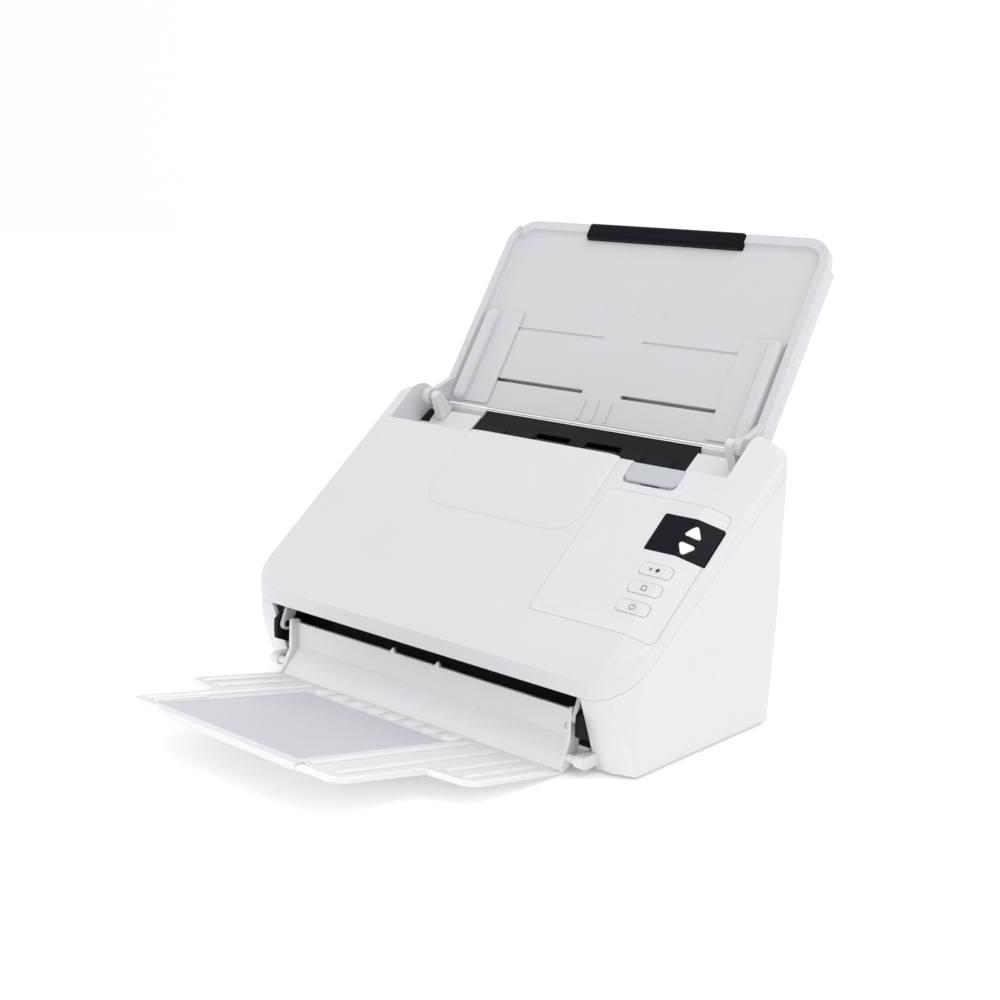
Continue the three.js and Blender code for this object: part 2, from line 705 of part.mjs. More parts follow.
// flat belt that runs round the pulleys on the right-hand end of the drive rollers
function buildBelt() {
  const clear = pulley.radius + gap;
  const thickness = 1.2;
  const first = drives[3].s;
  const last = drives[0].s;
  const loop = (r) => {
    const shape = new THREE.Shape();
    shape.absarc(first, driveAxis, r, Math.PI / 2, Math.PI * 1.5, false);
    shape.absarc(last, driveAxis, r, -Math.PI / 2, Math.PI / 2, false);
    return shape;
  };
  const x0 = pulley.inner + 0.3;
  const x1 = pulley.outer - 0.3;
  const belt = prismX(loop(clear + thickness), x0, x1).subtract(prismX(loop(clear), x0 - 5, x1 + 5));
  return part('drive_belt', fromPath(belt), 'rubber');
}

function buildMotor() {
  const body = rod(17, 96, 136, 118, 60, 28);
  const boss = rod(6, 135, 137.6, 118, 60);
  const neck = block(84, 96.5, 110, 126, 48, 58);
  return part('motor', body.add(boss).add(neck), 'steel');
}

function buildBoard() {
  const y = 156;
  let board = block(-40, 112, y, y + 1.6, 14, 96);
  // chips and connectors: centre, width, height and how far each stands off the board
  const chips = [
    [-10, 60, 18, 18, 2], [30, 66, 12, 12, 1.6], [80, 60, 16, 10, 5],
    [10, 30, 10, 16, 3], [-26, 30, 10, 10, 6],
  ];
  chips.forEach(([x, z, w, h, t]) => {
    board = board.add(block(x - w / 2, x + w / 2, y - t, y + 0.5, z - h / 2, z + h / 2));
  });
  return part('main_board', board, 'board');
}

function buildPorts() {
  const { x, z, halfX, halfZ } = usbPort;
  const around = (inward, y0, y1) => block(
    x - halfX + inward, x + halfX - inward, y0, y1, z - halfZ + inward, z + halfZ - inward);
  const shellBox = around(0.4, 158.2, 169.6);
  const mouth = around(1.2, 161, 180);
  const tongue = block(x - 2.8, x + 2.8, 160.5, 168, z - 1.6, z + 1.6);
  const barrel = along(powerInlet, powerInlet.radius, 158.2, 169.4);
  const hole = along(powerInlet, powerInlet.radius - 1.2, 161, 180);
  const pin = along(powerInlet, 1, 160.5, 168.4);
  return [
    part('usb_port', shellBox.subtract(mouth).add(tongue), 'copper'),
    part('power_inlet', barrel.subtract(hole).add(pin), 'black'),
  ];
}

// posts on the deck that carry the pins of the input tray
function buildHingePosts() {
  const pin = { post0: 119.5, post1: 125.4, end: trayPinEnd };
  const postRadius = 4.2;
  const foot0 = pathPoint(189, 0);
  const foot1 = pathPoint(203, 0);
  const shape = new THREE.Shape();
  shape.moveTo(foot0.x, foot0.y);
  shape.lineTo(foot1.x, foot1.y);
  shape.lineTo(trayPivot.x + postRadius, trayPivot.y);
  shape.absarc(trayPivot.x, trayPivot.y, postRadius, 0, Math.PI, false);
  return ['left', 'right'].map((side) => {
    const sign = side === 'left' ? -1 : 1;
    const span = (a, b) => [a * sign, b * sign].sort((p, q) => p - q);
    const [a0, a1] = span(pin.post0, pin.post1);
    const [b0, b1] = span(pin.post1 - 0.5, pin.end);
    const post = prismX(shape, a0, a1).add(rod(trayPinRadius, b0, b1, trayPivot.x, trayPivot.y));
    return part(`hinge_post_${side}`, post, 'white');
  });
}

// ---------------------------------------------------------------- input tray

const slotRow = 22;
const grooveRow = 63;
const slotInner = 16;
const slotOuter = 122;
const guide = { inner: 91.5, fence: 112, outer: 122.5, length: 75, plate: 1.2, height: 6.5, round: 3 };
const grip = { half: 64.5, height: 11.5, back: -4.4, front: 4.2, round: 2.4 };
const frontSheet = 2.2;
const backSheet = 1.8;
const extension = { half: 60, low: 42, thickness: 2.4 };
const pinionRadius = 7;
const earRadius = 5.6;

// the pivot seen in the tray's own frame
function inTrayFrame(point) {
  const dy = point.x - trayOrigin.y;
  const dz = point.y - trayOrigin.z;
  return new THREE.Vector2(
    dy * Math.cos(trayTilt) + dz * Math.sin(trayTilt),
    -dy * Math.sin(trayTilt) + dz * Math.cos(trayTilt));
}

function trayOutline(half, low, high, radius) {
  const shape = new THREE.Shape();
  shape.moveTo(-half, low);
  shape.lineTo(half, low);
  shape.absarc(half - radius, high - radius, radius, 0, Math.PI / 2, false);
  shape.absarc(-half + radius, high - radius, radius, Math.PI / 2, Math.PI, false);
  return shape;
}

// front sheet of the tray: flat field, raised side walls, slots, grooves, three ribs, ears to the pins
function buildTrayPanel() {
  const wallInner = trayPanelHalfWidth;
  let panel = prismZ(trayOutline(trayHalfWidth, 0, trayLength, 20), -frontSheet, trayWallHeight);
  const field = trayOutline(wallInner, -5, trayLength - 6, 15);
  const dish = prismZ(field, trayWallHeight, 4 * trayWallHeight, {
    bevelEnabled: true, bevelThickness: trayWallHeight, bevelSize: 2, bevelOffset: -2, bevelSegments: 3,
  });
  panel = panel.subtract(dish);
  panel = panel.subtract(block(-wallInner, wallInner, trayLength - 12, trayLength + 5, 2.2, 20));
  const skirt = pair(
    trayHalfWidth - 2.4, trayHalfWidth, 4, trayLength - 20, -trayThickness, -frontSheet + 0.1);
  panel = panel.add(skirt);
  panel = panel.subtract(pair(slotInner, slotOuter, slotRow - 1.4, slotRow + 1.4, -10, 3));
  panel = panel.subtract(pair(slotInner, slotOuter, grooveRow - 1, grooveRow + 1, -0.9, 3));
  [-11, 0, 11].forEach((x) => {
    panel = panel.add(prismZ(roundedRect(x - 1.1, x + 1.1, 1.5, 17.5, 1), -0.5, 1.1));
  });
  const gripLow = trayLength - grip.height - gap;
  panel = panel.subtract(block(-grip.half - gap, grip.half + gap, gripLow, trayLength + 5, -10, 10));
  const pivot = inTrayFrame(trayPivot);
  const arm = new THREE.Shape();
  arm.moveTo(1, -frontSheet);
  arm.lineTo(16, -frontSheet);
  arm.lineTo(20, 2);
  arm.lineTo(pivot.x + earRadius, pivot.y);
  arm.absarc(pivot.x, pivot.y, earRadius, 0, Math.PI, false);
  arm.lineTo(-2.5, 1);
  const ears = pairX(arm, wallInner + 0.6, trayHalfWidth - 0.4);
  panel = panel.add(ears).subtract(
    rodPair(trayPinRadius + runningFit, wallInner - 5, trayPinEnd + gap, pivot.x, pivot.y));
  return part('input_tray', panel, 'white');
}

function buildTrayBack() {
  const half = trayHalfWidth - 2.4 - gap;
  const low = 4;
  const high = trayLength - 2;
  const back = prismZ(trayOutline(half, low, high, 18), -trayThickness, -trayThickness + backSheet);
  const rim = prismZ(trayOutline(half, low, high, 18), -trayThickness, -frontSheet - gap)
    .subtract(prismZ(trayOutline(half - 2.2, low + 2.2, trayLength + 30, 2), -trayThickness - 1, 5));
  const rails = pair(extension.half + 0.4, extension.half + 2.4, extension.low, trayLength - grip.height - 1,
    -trayThickness + 1, -frontSheet - gap);
  return part('input_tray_back', back.add(rim).add(rails), 'white');
}

function buildTrayExtension() {
  const z0 = -trayThickness + backSheet + gap;
  const z1 = z0 + extension.thickness;
  const bladeOutline = roundedRect(-extension.half, extension.half, extension.low, trayLength - 0.6, 2);
  let blade = prismZ(bladeOutline, z0, z1);
  blade = blade.subtract(block(-40, 40, extension.low + 14, trayLength - 26, -10, 10));
  blade = blade.subtract(block(-200, 200, trayLength - grip.height, 300, z0 + 1.2, 10));
  const gripOutline = roundedRect(-grip.half, grip.half, trayLength - grip.height, trayLength + 0.6, 2.5);
  const { back, front, round } = grip;
  const bar = prismZ(gripOutline, back + round, front - round, {
    bevelEnabled: true, bevelThickness: round, bevelSize: round, bevelOffset: -round, bevelSegments: 3,
  });
  return [part('tray_extension', blade, 'white'), part('tray_extension_grip', bar, 'black')];
}

// sheet guide: thin plate on the tray, fence across it, foot through the slot and rack behind the tray
function buildGuide(sign) {
  const span = (a, b) => [a * sign, b * sign].sort((p, q) => p - q);
  const [p0, p1] = span(guide.inner, guide.outer);
  const [f0, f1] = span(guide.fence, guide.outer);
  const lift = 0.25;
  let body = prismZ(roundedRect(p0, p1, 2, guide.length, 2), lift, lift + guide.plate);
  const fence = prismZ(roundedRect(f0, f1, 1, guide.length - 1, 5), -5, guide.height - guide.round, {
    bevelEnabled: true, bevelThickness: guide.round, bevelSize: guide.round, bevelOffset: -guide.round,
    bevelSegments: 4,
  });
  body = body.add(fence.intersect(block(f0 - 1, f1 + 1, 0, guide.length, lift, 20)));
  const [s0, s1] = span(96, 106);
  body = body.add(block(s0, s1, slotRow - 1, slotRow + 1, -frontSheet - 1, lift + 0.5));
  body = body.add(block(s0, s1, grooveRow - 0.7, grooveRow + 0.7, -0.6, lift + 0.5));
  const rackSide = sign * (pinionRadius + 0.5);
  const [r0, r1] = span(-14, 106);
  const rackRow = slotRow + rackSide;
  const [b0, b1] = [Math.min(rackRow, rackRow + sign * 3.2), Math.max(rackRow, rackRow + sign * 3.2)];
  body = body.add(block(r0, r1, b0, b1, -4.6, -2.8));
  body = body.add(block(s0, s1, Math.min(b0, slotRow - 1), Math.max(b1, slotRow + 1), -4.6, -2.8));
  return part(sign < 0 ? 'guide_left' : 'guide_right', body, 'white');
}

function buildPinion() {
  const geometry = new THREE.CylinderGeometry(pinionRadius, pinionRadius, 1.6, 24);
  geometry.rotateX(Math.PI / 2);
  geometry.translate(0, slotRow, -3.7);
  return part('guide_pinion', solid(geometry), 'paleGrey');
}

// ---------------------------------------------------------------- output tray

const outletFloor = 2.2;
const rib = { height: 1, halfWidth: 1.9, back: -9 };
const longRibs = [-78.5, 58.5, 77];
const wingRibs = [-108, -95, 95, 108];
const shortRib = { x: -73, front: -138, back: -98, halfWidth: 1.2 };
const pads = { first: -63, pitch: 15.4, count: 8, half: 4.7, front: -19, back: -3 };
const inset = { left: -69, right: 49, front: -138, back: -21, depth: 0.9 };
const stop = { half: 57, blade: 50, proud: 1.2564, lipDepth: 6.7, lipLow: -2.9, lipHigh: 0.9 };
const peak = { places: [-28, 10], half: 2.6, depth: 3.6, y: 13.5, z: 38 };

// a point of the closed body's side view, seen in the tray's own frame
function outletPoint(y, z) {
  const dy = y - outletOrigin.y;
  const dz = z - outletOrigin.z;
  return [
    dy * Math.cos(outletTilt) + dz * Math.sin(outletTilt),
    -dy * Math.sin(outletTilt) + dz * Math.cos(outletTilt),
  ];
}

// plan of the floor: two short wings with rounded corners and a long centre part
function outletPlan() {
  const half = outletHalfWidth;
  const centre = outletCentreHalf;
  const shape = new THREE.Shape();
  shape.moveTo(-half, 1);
  shape.lineTo(-half, -outletSideLength + 10);
  shape.absarc(-half + 10, -outletSideLength + 10, 10, Math.PI, Math.PI * 1.4, false);
  shape.lineTo(-centre - 3, -outletSideLength - 3.5);
  shape.absarc(-centre + 9, -outletReach + 9, 9, Math.PI, Math.PI * 1.5, false);
  shape.absarc(centre - 9, -outletReach + 9, 9, Math.PI * 1.5, Math.PI * 2, false);
  shape.lineTo(centre + 3, -outletSideLength - 3.5);
  shape.absarc(half - 10, -outletSideLength + 10, 10, Math.PI * 1.6, Math.PI * 2, false);
  shape.lineTo(half, 1);
  return shape;
}

// a low rib with round ends, from one place to another down the floor
function ribAt(x, front, back, half) {
  return prismZ(roundedRect(x - half, x + half, front, back, half), -0.5, rib.height, { curveSegments: 3 });
}

// long ribs beside the inset, two shorter ones on each wing, and a row of pads behind the inset
function outletRibs() {
  const ribs = [
    ...longRibs.map((x) => ribAt(x, -outletReach + 9, rib.back, rib.halfWidth)),
    ...wingRibs.map((x) => ribAt(x, -outletSideLength + 7, rib.back, rib.halfWidth)),
    ribAt(shortRib.x, shortRib.front, shortRib.back, shortRib.halfWidth),
  ];
  for (let i = 0; i < pads.count; i += 1) {
    ribs.push(ribAt(pads.first + i * pads.pitch, pads.front, pads.back, pads.half));
  }
  return ribs.reduce((all, one) => all.add(one));
}

// floor with wings, ramp and rear wall, side arms with hinge pins, ribs, rails for the stop underneath
function buildOutletTray() {
  const half = outletHalfWidth;
  let tray = prismZ(outletPlan(), -outletFloor, 0);
  tray = tray.subtract(block(-stop.half - gap, stop.half + gap, -outletReach - 5, -outletReach + 7, -20, 20));
  tray = tray.subtract(block(inset.left, inset.right, inset.front, inset.back, -inset.depth, 5));
  const railTop = -outletFloor + 0.1;
  const railFront = -outletReach + 12;
  const railEdge = stop.half + 2.5;
  const rails = pair(stop.half + gap, railEdge, railFront, -34, -outletFloor - 2.6, railTop);
  const lips = pair(stop.half - 3, railEdge, railFront, -34, -outletFloor - 3.8, -outletFloor - 2.5);
  tray = tray.add(rails).add(lips);
  const ramp = outline([
    outletPoint(0.4, 0.6), outletPoint(15, 14.5), outletPoint(15.2, 17), outletPoint(14.5, 35),
    outletPoint(12.5, 35), outletPoint(12.8, 18.2), outletPoint(12, 17.6), outletPoint(0.2, 2.6),
  ]);
  tray = tray.add(prismX(ramp, -half + 2, half - 2));
  peak.places.forEach((x) => {
    const [y, z] = outletPoint(peak.y, peak.z);
    const base = z - peak.depth;
    tray = tray.add(prismY(outline([[x - peak.half, base], [x + peak.half, base], [x, z]]), y - 1, y + 1));
  });
  const arm = outline([
    outletPoint(14.5, 36.5), outletPoint(12.5, 37.6), outletPoint(8.5, 38), outletPoint(7.2, 36.6),
    outletPoint(7.2, 18), outletPoint(1.5, 7.5), outletPoint(-2.5, 3.8),
    outletPoint(2, 1), outletPoint(12, 5), outletPoint(15.5, 14),
  ]);
  tray = tray.add(pairX(arm, half - 2.6, half));
  const [pinY, pinZ] = outletPoint(outletPivot.x, outletPivot.y);
  tray = tray.add(rodPair(outletPinRadius, half - 1, outletLug.x1 - 1.5, pinY, pinZ));
  return part('output_tray', tray.add(outletRibs()), 'white');
}

function buildOutletInset() {
  const { left, right, front, back, depth } = inset;
  const plate = block(left + gap, right - gap, front + gap, back - gap, -depth + 0.1, -0.1);
  return part('output_inset', plate, 'paleGrey');
}

// stop that slides out from under the floor, with a thick front lip
function buildOutletStop() {
  const y = -outletReach;
  const lipPlan = roundedRect(-stop.half, stop.half, y - stop.proud, y + stop.lipDepth, 2);
  const lip = prismZ(lipPlan, stop.lipLow, stop.lipHigh);
  const blade = block(-stop.half + 0.4, stop.half - 0.4, y + 3, y + 3 + stop.blade, -4.4, -2.6);
  const window = block(-44, 44, y + 12, y + stop.blade - 6, -10, 10);
  return part('output_stop', lip.add(blade).subtract(window), 'white');
}

// ---------------------------------------------------------------- assembly

function group(name, items) {
  const result = new THREE.Group();
  result.name = name;
  result.add(...items);
  return result;
}

const inputTray = group('input_tray_frame', [
  buildTrayPanel(), buildTrayBack(), ...buildTrayExtension(), buildGuide(-1), buildGuide(1), buildPinion(),
]);
inputTray.position.copy(trayOrigin);
inputTray.rotation.x = trayTilt;

const outputTray = group('output_tray_frame', [buildOutletTray(), buildOutletInset(), buildOutletStop()]);
outputTray.position.copy(outletOrigin);
outputTray.rotation.x = outletTilt;

const scanner = group('body_frame', [
  group('base', [
    buildHousing(), buildBottomPlate(), ...buildFeet(), buildExitFrame(), ...buildFramePlates(), buildDeck(),
    buildFeedUnit(), ...buildHingePosts(),
    ...buildSensor('lower_sensor', 'lower_glass', -16, -0.6, -2.4, -0.6),
    buildMotor(), buildBelt(), buildBoard(), ...buildPorts(),
  ]),
  group('lid', [
    buildLidCover(), buildLiner(), buildLatch(), ...buildControlPanel(),
    ...buildSensor('upper_sensor', 'upper_glass', 1.3, 13, 1.3, 3.1),
  ]),
  group('rollers', buildRollers()),
  inputTray,
  outputTray,
]);

// the origin is the middle of the object's bounding box, on the floor
const bounds = new THREE.Box3().setFromObject(scanner, true);
const scannerRoot = group('document_scanner', [scanner]);
scanner.position.y = -(bounds.min.y + bounds.max.y) / 2;

export default scannerRoot;
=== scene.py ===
import json
import math

import bmesh
import bpy
from mathutils import Matrix, Vector


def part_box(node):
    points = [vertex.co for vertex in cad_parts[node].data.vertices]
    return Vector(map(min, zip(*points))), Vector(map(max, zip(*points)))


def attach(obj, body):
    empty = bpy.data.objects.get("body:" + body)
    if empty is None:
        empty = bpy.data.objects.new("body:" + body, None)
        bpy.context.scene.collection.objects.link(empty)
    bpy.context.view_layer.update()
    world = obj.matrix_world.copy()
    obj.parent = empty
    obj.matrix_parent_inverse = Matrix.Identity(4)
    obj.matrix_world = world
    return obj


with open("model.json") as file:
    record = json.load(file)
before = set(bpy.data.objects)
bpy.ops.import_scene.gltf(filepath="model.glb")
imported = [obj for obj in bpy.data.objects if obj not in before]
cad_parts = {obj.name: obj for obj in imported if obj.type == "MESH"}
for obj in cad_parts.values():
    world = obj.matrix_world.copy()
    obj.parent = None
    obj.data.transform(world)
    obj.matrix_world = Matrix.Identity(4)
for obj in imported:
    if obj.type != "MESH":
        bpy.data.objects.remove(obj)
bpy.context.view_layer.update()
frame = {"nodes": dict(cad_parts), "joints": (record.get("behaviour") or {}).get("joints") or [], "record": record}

MM = 0.001
nodes = frame["nodes"]
joints = {joint["name"]: joint for joint in frame["joints"]}
scene = bpy.context.scene
collection = scene.collection


# ---------------------------------------------------------------- frames of reference on the object

def joint_axis(name):
    return Vector(joints[name]["axis"]).normalized()


def basis(origin, right, up, out):
    """Matrix that takes millimetres along right, up and out to the row frame in metres."""
    matrix = Matrix((right, up, out)).transposed().to_4x4()
    return Matrix.Translation(origin) @ matrix @ Matrix.Scale(MM, 4)


RIGHT = Vector((1, 0, 0))

# input tray: up the tray and out of the side that the sheets lie on, from the pinion's place
tray_up = joint_axis("tray_extension_slide")
tray_out = joint_axis("guide_pinion_spin")
PINION_UP, PINION_OUT = 22, -3.7
pinion = Vector(joints["guide_pinion_spin"]["pos_m"])
tray_origin = pinion - tray_up * PINION_UP * MM - tray_out * PINION_OUT * MM
TRAY = basis(tray_origin, RIGHT, tray_up, tray_out)

# output tray: back along the floor and out of it, from the front edge of the stop
outlet_back = -joint_axis("output_stop_slide")
outlet_out = RIGHT.cross(outlet_back)
OUTLET_PIN_BACK, OUTLET_PIN_OUT = 4.44, 7.25
outlet_pin = Vector(joints["output_tray_fold"]["pos_m"])
outlet_origin = outlet_pin - outlet_back * OUTLET_PIN_BACK * MM - outlet_out * OUTLET_PIN_OUT * MM
OUTLET = basis(outlet_origin, RIGHT, outlet_back, outlet_out)

# lid's top panel: up the slope and out of it
panel_up = -joint_axis("latch_slide")
panel_out = -joint_axis("key_up_press")


def on_panel(node):
    """Frame at the middle of a button's outer face."""
    low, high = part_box(node)
    middle = (low + high) / 2
    mesh = nodes[node].data
    proud = max(panel_out.dot(v.co - middle) for v in mesh.vertices)
    return basis(middle + panel_out * proud, RIGHT, panel_up, panel_out)


# ---------------------------------------------------------------- camera and light

# angles in degrees, lens and sensor in millimetres, distances in metres
CAMERA = {"azimuth": 40.6, "elevation": 11.8, "roll": 2.5, "distance": 0.9776, "lens": 55.35,
          "sensor": 36, "shift": (0.0138, 0.0046), "nearest": 0.01}
AIM_X, AIM_BACK, AIM_HEIGHT = -0.0107, 0.0247, 0.1241


def make_camera():
    azimuth, elevation, roll = (math.radians(CAMERA[k]) for k in ("azimuth", "elevation", "roll"))
    target = Vector((AIM_X, AIM_BACK, AIM_HEIGHT))
    back = Vector((math.sin(azimuth) * math.cos(elevation),
                   -math.cos(azimuth) * math.cos(elevation),
                   math.sin(elevation)))
    right = (-back).cross(Vector((0, 0, 1))).normalized()
    up = right.cross(-back)
    turned_right = right * math.cos(roll) + up * math.sin(roll)
    turned_up = up * math.cos(roll) - right * math.sin(roll)
    camera = bpy.data.objects.new("camera", bpy.data.cameras.new("camera"))
    camera.data.lens = CAMERA["lens"]
    camera.data.sensor_width = CAMERA["sensor"]
    camera.data.shift_x, camera.data.shift_y = CAMERA["shift"]
    camera.data.clip_start = CAMERA["nearest"]
    place = Matrix((turned_right, turned_up, back)).transposed().to_4x4()
    camera.matrix_world = Matrix.Translation(target + back * CAMERA["distance"]) @ place
    collection.objects.link(camera)
    scene.camera = camera


def softbox(name, place, aim, size, watts, spread):
    light = bpy.data.lights.new(name, "AREA")
    light.shape = "RECTANGLE"
    light.size, light.size_y = size
    light.energy = watts
    light.spread = math.radians(spread)
    lamp = bpy.data.objects.new(name, light)
    lamp.location = place
    lamp.rotation_euler = (Vector(aim) - Vector(place)).to_track_quat("-Z", "Y").to_euler()
    collection.objects.link(lamp)


# places, aims and sizes in metres, spreads in degrees
SOFTBOXES = {
    "top": {"place": (0.8, -0.2, 2.1), "aim": (0, 0, 0.12), "size": (1.8, 1.4), "watts": 12, "spread": 180},
    "low": {"place": (-0.15, -1.0, 0.25), "aim": (0, -0.1, -0.02), "size": (0.5, 0.1), "watts": 0.045,
            "spread": 12},
}
SKY_COLOUR = (0.985, 0.99, 1.0, 1)
SKY_STRENGTH = 0.87
# the sky grows stronger towards this direction, by the direction's length
SKY_LEAN = (-0.05, 0.16, 0.0)


def make_studio():
    world = bpy.data.worlds.new("studio")
    world.use_nodes = True
    tree = world.node_tree
    background = tree.nodes["Background"]
    background.inputs["Color"].default_value = SKY_COLOUR
    direction = tree.nodes.new("ShaderNodeTexCoord")
    lean = tree.nodes.new("ShaderNodeVectorMath")
    lean.operation = "DOT_PRODUCT"
    lean.inputs[1].default_value = SKY_LEAN
    strength = tree.nodes.new("ShaderNodeMath")
    strength.inputs[1].default_value = SKY_STRENGTH
    tree.links.new(direction.outputs["Generated"], lean.inputs[0])
    tree.links.new(lean.outputs["Value"], strength.inputs[0])
    tree.links.new(strength.outputs["Value"], background.inputs["Strength"])
    scene.world = world
    scene.view_settings.view_transform = "Standard"
    for name, box in SOFTBOXES.items():
        softbox(name, **box)


# ---------------------------------------------------------------- materials

def shader(name):
    material = bpy.data.materials.new(name)
    material.use_nodes = True
    tree = material.node_tree
    return material, tree, tree.nodes["Principled BSDF"]


def object_noise(tree, scale, detail=2, roughness=0.5):
    place = tree.nodes.new("ShaderNodeTexCoord")
    noise = tree.nodes.new("ShaderNodeTexNoise")
    noise.inputs["Scale"].default_value = scale
    noise.inputs["Detail"].default_value = detail
    noise.inputs["Roughness"].default_value = roughness
    tree.links.new(place.outputs["Object"], noise.inputs["Vector"])
    return noise.outputs["Fac"]


def remap(tree, value, low, high, from_low=0.35, from_high=0.65):
    node = tree.nodes.new("ShaderNodeMapRange")
    node.inputs["From Min"].default_value = from_low
    node.inputs["From Max"].default_value = from_high
    node.inputs["To Min"].default_value = low
    node.inputs["To Max"].default_value = high
    tree.links.new(value, node.inputs["Value"])
    return node.outputs["Result"]


def blend_colours(tree, factor, first, second):
    """Mix of two colours; either may be a socket."""
    node = tree.nodes.new("ShaderNodeMix")
    node.data_type = "RGBA"
    tree.links.new(factor, node.inputs["Factor"])
    for key, colour in (("A", first), ("B", second)):
        socket = [s for s in node.inputs if s.name == key and s.type == "RGBA"][0]
        if isinstance(colour, tuple):
            socket.default_value = (*colour, 1)
        else:
            tree.links.new(colour, socket)
    return [s for s in node.outputs if s.type == "RGBA"][0]


def scaled(colour, factor):
    return tuple(min(1.0, c * factor) for c in colour)


# pointiness at which a convex edge starts to show, and at which it shows fully
EDGE_STARTS, EDGE_FULL = 0.52, 0.6


def edges_of(tree):
    """One on convex edges, nought elsewhere."""
    geometry = tree.nodes.new("ShaderNodeNewGeometry")
    return remap(tree, geometry.outputs["Pointiness"], 0, 1, EDGE_STARTS, EDGE_FULL)


def add_bump(tree, bsdf, heights):
    """Chains bumps, each (socket, depth in metres, strength)."""
    normal = None
    for value, depth, strength in heights:
        bump = tree.nodes.new("ShaderNodeBump")
        bump.inputs["Distance"].default_value = depth
        bump.inputs["Strength"].default_value = strength
        tree.links.new(value, bump.inputs["Height"])
        if normal is not None:
            tree.links.new(normal, bump.inputs["Normal"])
        normal = bump.outputs["Normal"]
    tree.links.new(normal, bsdf.inputs["Normal"])


# noise scales that the plastics share, and the depths of their relief in metres
FLOW_SCALE, PATCH_SCALE, WAVE_SCALE = 14, 26, 35
SPECKLE_SCALE, GRAIN_SCALE = 900, 2600
WAVE_DEPTH, GRAIN_DEPTH = 0.0006, 0.00006
WAVE_STRENGTH = 0.06
SPECKLE_SHADE = 0.94
GLOSS_SPREAD = 0.06


def moulded_plastic(name, colour, roughness, grain=0.35, wear=1.05, mottle=0.985, specular=0.45):
    """Moulded plastic: spark-eroded grain, faint flow mottling and slightly lighter edges."""
    material, tree, bsdf = shader(name)
    flow = object_noise(tree, FLOW_SCALE, 3)
    body = blend_colours(tree, remap(tree, flow, 0, 1), colour, scaled(colour, mottle))
    speckle = remap(tree, object_noise(tree, SPECKLE_SCALE, 2), 0, 0.5, 0.62, 0.8)
    body = blend_colours(tree, speckle, body, scaled(colour, SPECKLE_SHADE))
    body = blend_colours(tree, edges_of(tree), body, scaled(colour, wear))
    tree.links.new(body, bsdf.inputs["Base Color"])
    patches = object_noise(tree, PATCH_SCALE, 4)
    gloss = remap(tree, patches, roughness - GLOSS_SPREAD, roughness + GLOSS_SPREAD)
    tree.links.new(gloss, bsdf.inputs["Roughness"])
    fine = object_noise(tree, GRAIN_SCALE, 2, 0.6)
    waves = object_noise(tree, WAVE_SCALE, 1)
    add_bump(tree, bsdf, [(waves, WAVE_DEPTH, WAVE_STRENGTH), (fine, GRAIN_DEPTH, grain)])
    bsdf.inputs["Specular IOR Level"].default_value = specular
    return material


def rubber_surface(name, colour):
    """Rubber: dusty bloom, coarse grain and paler rubbed edges."""
    material, tree, bsdf = shader(name)
    bloom = remap(tree, object_noise(tree, 60, 4), 0, 0.6)
    body = blend_colours(tree, bloom, colour, scaled(colour, 1.6))
    body = blend_colours(tree, edges_of(tree), body, scaled(colour, 2.2))
    tree.links.new(body, bsdf.inputs["Base Color"])
    tree.links.new(remap(tree, object_noise(tree, 180, 3), 0.68, 0.88), bsdf.inputs["Roughness"])
    add_bump(tree, bsdf, [(object_noise(tree, 1500, 3), 0.0001, 0.5)])
    return material


# the brush marks are drawn out along X
BRUSH_STRETCH = (0.02, 1, 1)
BRUSH_SCALE = 3000
BRUSH_DEPTH = 0.00004


def brushed_metal(name, colour, roughness):
    """Plated sheet: fine brushed lines, cloudy passivation and bright edges."""
    material, tree, bsdf = shader(name)
    place = tree.nodes.new("ShaderNodeTexCoord")
    mapping = tree.nodes.new("ShaderNodeMapping")
    mapping.inputs["Scale"].default_value = BRUSH_STRETCH
    lines = tree.nodes.new("ShaderNodeTexNoise")
    lines.inputs["Scale"].default_value = BRUSH_SCALE
    tree.links.new(place.outputs["Object"], mapping.inputs["Vector"])
    tree.links.new(mapping.outputs["Vector"], lines.inputs["Vector"])
    clouds = remap(tree, object_noise(tree, 40, 4), 0, 0.7)
    body = blend_colours(tree, clouds, colour, scaled(colour, 0.8))
    body = blend_colours(tree, edges_of(tree), body, scaled(colour, 1.25))
    tree.links.new(body, bsdf.inputs["Base Color"])
    gloss = remap(tree, lines.outputs["Fac"], roughness - 0.08, roughness + 0.1)
    tree.links.new(gloss, bsdf.inputs["Roughness"])
    add_bump(tree, bsdf, [(lines.outputs["Fac"], BRUSH_DEPTH, 0.4)])
    bsdf.inputs["Metallic"].default_value = 1
    return material


def sensor_glass(name):
    """Dark coated glass over a sensor, with faint smears."""
    material, tree, bsdf = shader(name)
    smears = remap(tree, object_noise(tree, 22, 5), 0, 1)
    body = blend_colours(tree, smears, (0.10, 0.14, 0.15), (0.14, 0.18, 0.19))
    tree.links.new(body, bsdf.inputs["Base Color"])
    tree.links.new(remap(tree, object_noise(tree, 50, 4), 0.03, 0.12), bsdf.inputs["Roughness"])
    add_bump(tree, bsdf, [(object_noise(tree, 12, 1), 0.0002, 0.05)])
    bsdf.inputs["Coat Weight"].default_value = 0.6
    return material


TRACK_SCALE, TRACK_WIDTH, TRACK_DEPTH = 90, 0.03, 0.00005
MASK_DARK, MASK_LIGHT, TRACK_GREEN = (0.01, 0.09, 0.04), (0.015, 0.12, 0.055), (0.05, 0.26, 0.12)


